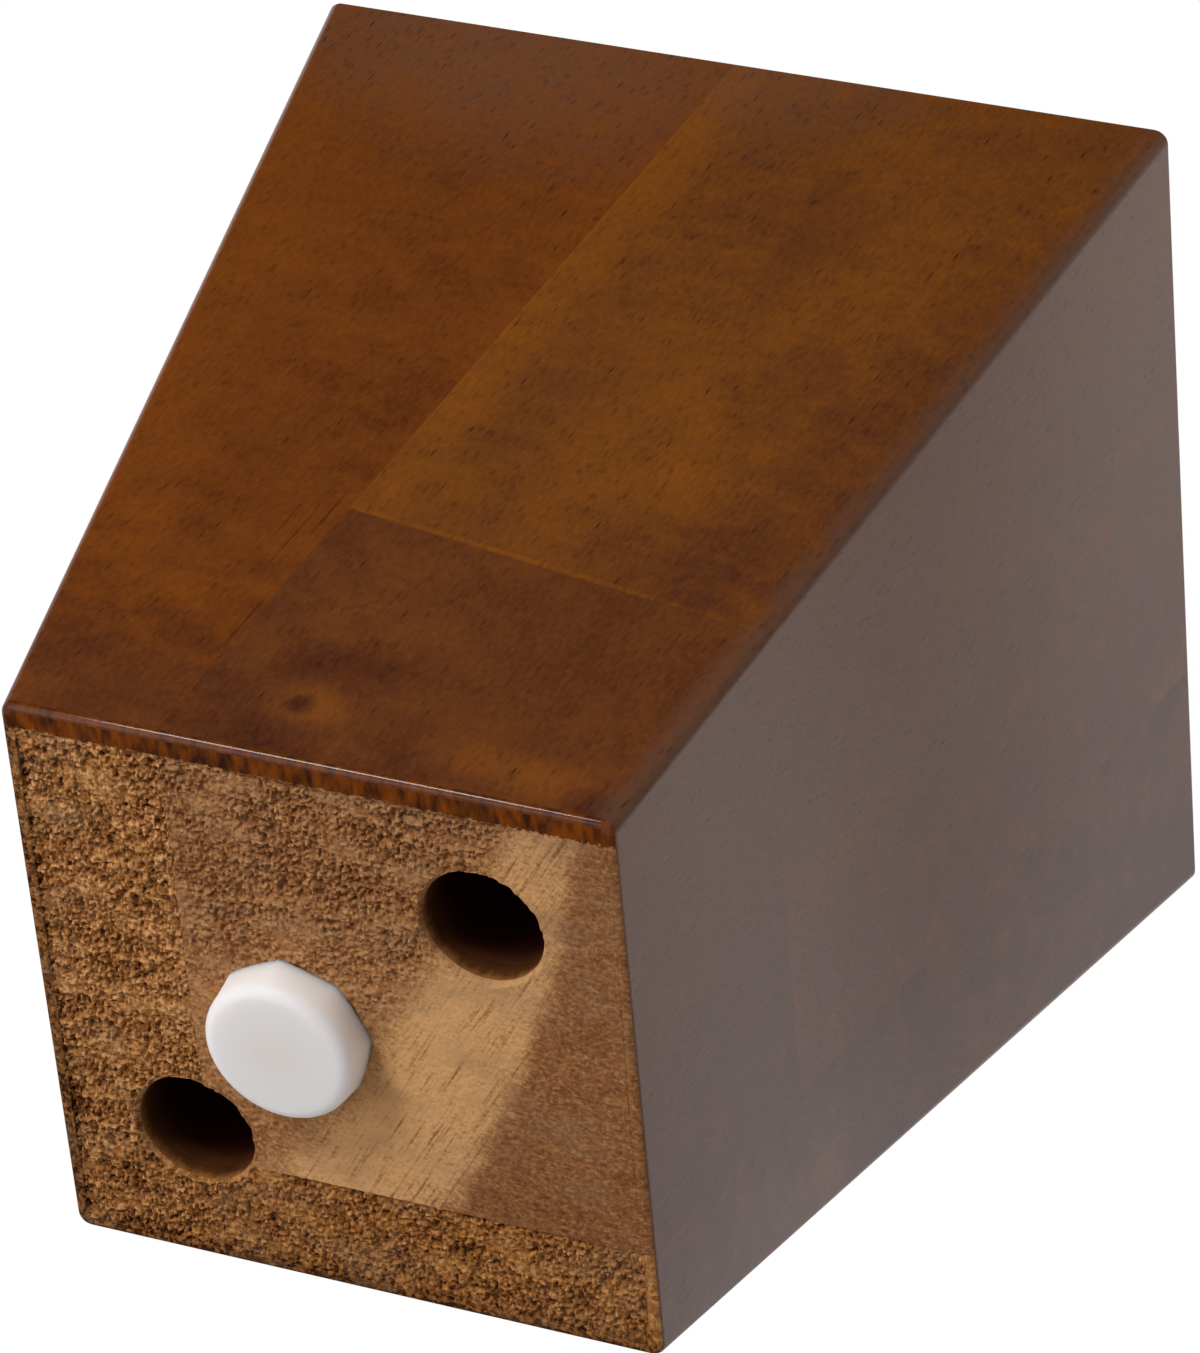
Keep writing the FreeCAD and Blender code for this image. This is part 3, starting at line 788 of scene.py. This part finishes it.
# matt paper with a painted shadow, dark right under the leg, and it glows a little, to look pale in any
# view
pale, tree, sheet, place = new_finish("pale_floor_sheet")
sheet.inputs["Roughness"].default_value = 0.9
sheet.inputs["IOR"].default_value = 1.1
flat = add(tree, "ShaderNodeMapping", {"Vector": place, "Scale": (1000, 1000, 0)})
away = add(tree, "ShaderNodeVectorMath", {0: flat.outputs[0]}, operation="LENGTH")
out_of_painted_shadow = add(tree, "ShaderNodeMapRange", {
    0: away.outputs["Value"], 1: 14, 2: 62,
}, interpolation_type="SMOOTHSTEP")
tint = add(tree, "ShaderNodeMix", {
    0: out_of_painted_shadow.outputs[0], 6: linear("#4a4745"), 7: linear("#efeeec"),
}, data_type="RGBA")
tree.links.new(tint.outputs[2], sheet.inputs["Base Color"])
tree.links.new(tint.outputs[2], sheet.inputs["Emission Color"])
sheet.inputs["Emission Strength"].default_value = 0.45
# it ends in the white surround, and is clear from below
below = add(tree, "ShaderNodeNewGeometry").outputs["Backfacing"]
clear = add(tree, "ShaderNodeBsdfTransparent")
far = add(tree, "ShaderNodeMapRange", {
    0: away.outputs["Value"], 1: 300, 2: 2500,
}, interpolation_type="SMOOTHSTEP")
gone = add(tree, "ShaderNodeMath", {0: below, 1: far.outputs[0]}, operation="MAXIMUM")
either = add(tree, "ShaderNodeMixShader", {
    0: gone.outputs[0], 1: sheet.outputs[0], 2: clear.outputs[0],
})
tree.links.new(either.outputs[0], tree.nodes["Material Output"].inputs["Surface"])
floor.data.materials.append(pale)
floor.visible_diffuse = False
floor.visible_glossy = False
floor.visible_transmission = False
floor.visible_shadow = False


# Light: a white surround, a soft lamp in front that grazes the foot end, a weak one below it, and a
# wide one behind on the right. Each lamp is given by its way from the leg's middle, its distance and
# size in metres, and its watts.
surround_light = 0.36
world = bpy.data.worlds.new("white_surround")
bpy.context.scene.world = world
world.use_nodes = True
tree = world.node_tree
ray = add(tree, "ShaderNodeLightPath")
seen = add(tree, "ShaderNodeMath", {
    0: ray.outputs["Is Camera Ray"], 1: ray.outputs["Is Glossy Ray"],
}, operation="MAXIMUM")
seen = add(tree, "ShaderNodeMath", {
    0: seen.outputs[0], 1: ray.outputs["Is Transmission Ray"],
}, operation="MAXIMUM")
strength = add(tree, "ShaderNodeMapRange", {0: seen.outputs[0], 3: surround_light, 4: 1.0})
backdrop = tree.nodes["Background"]
backdrop.inputs["Color"].default_value = (1, 1, 1, 1)
tree.links.new(strength.outputs[0], backdrop.inputs["Strength"])

middle = Vector((0, 0, -wood_length / 2))
lamps = [
    ("front_softbox", (-0.36, -0.82, -0.44), 1.5, 0.34, 13.0),
    ("low_fill", (-0.5, -0.3, -0.81), 0.9, 0.6, 2.6),
    ("rear_fill", (0.74, 0.60, 0.30), 1.08, 0.8, 4.0),
]
for name, way, distance, size, watts in lamps:
    light = bpy.data.lights.new(name, "AREA")
    light.shape = "SQUARE"
    light.size = size
    light.energy = watts
    lamp = bpy.data.objects.new(name, light)
    bpy.context.collection.objects.link(lamp)
    way = Vector(way).normalized()
    lamp.location = middle + way * distance
    lamp.rotation_euler = way.to_track_quat("Z", "Y").to_euler()


# Dark card: a board of black felt, up in front of the -Y face. It keeps the white surround out of that
# face's gloss, as in the photograph, and nothing but that gloss sees it.
card_size = 1.5
card_distance = 0.9
bpy.ops.object.select_all(action="DESELECT")
bpy.ops.mesh.primitive_grid_add(x_subdivisions=2, y_subdivisions=2, size=card_size)
card = bpy.context.object
card.name = "dark_card"
way = Vector((-0.374, -0.750, 0.545))
card.location = middle + way * card_distance
card.rotation_euler = way.to_track_quat("Z", "Y").to_euler()
bpy.ops.object.transform_apply(location=True, rotation=True, scale=True)
# felt: black and without gloss
black, tree, felt, place = new_finish("black_felt")
felt.inputs["Base Color"].default_value = linear("#0a0a0a")
felt.inputs["Roughness"].default_value = 1
card.data.materials.append(black)
card.visible_camera = False
card.visible_diffuse = False
card.visible_transmission = False
card.visible_shadow = False


# Camera: below the foot, looking up along the leg, where the photograph was taken. Its place, turn and
# lens were fitted to the leg's outline there.
eye = bpy.data.cameras.new("photo_camera")
eye.sensor_width = 36
eye.lens = 189.38
camera = bpy.data.objects.new("photo_camera", eye)
bpy.context.collection.objects.link(camera)
right = Vector((0.91073, 0.07769, 0.40564))
down = Vector((0.17486, 0.81726, -0.54910))
ahead = Vector((-0.37417, 0.57101, 0.73071))
camera.location = (0.216983, -0.330868, -0.459118)
camera.rotation_euler = Matrix((right, -down, -ahead)).transposed().to_euler()
bpy.context.scene.camera = camera
bpy.context.scene.view_settings.view_transform = "Standard"
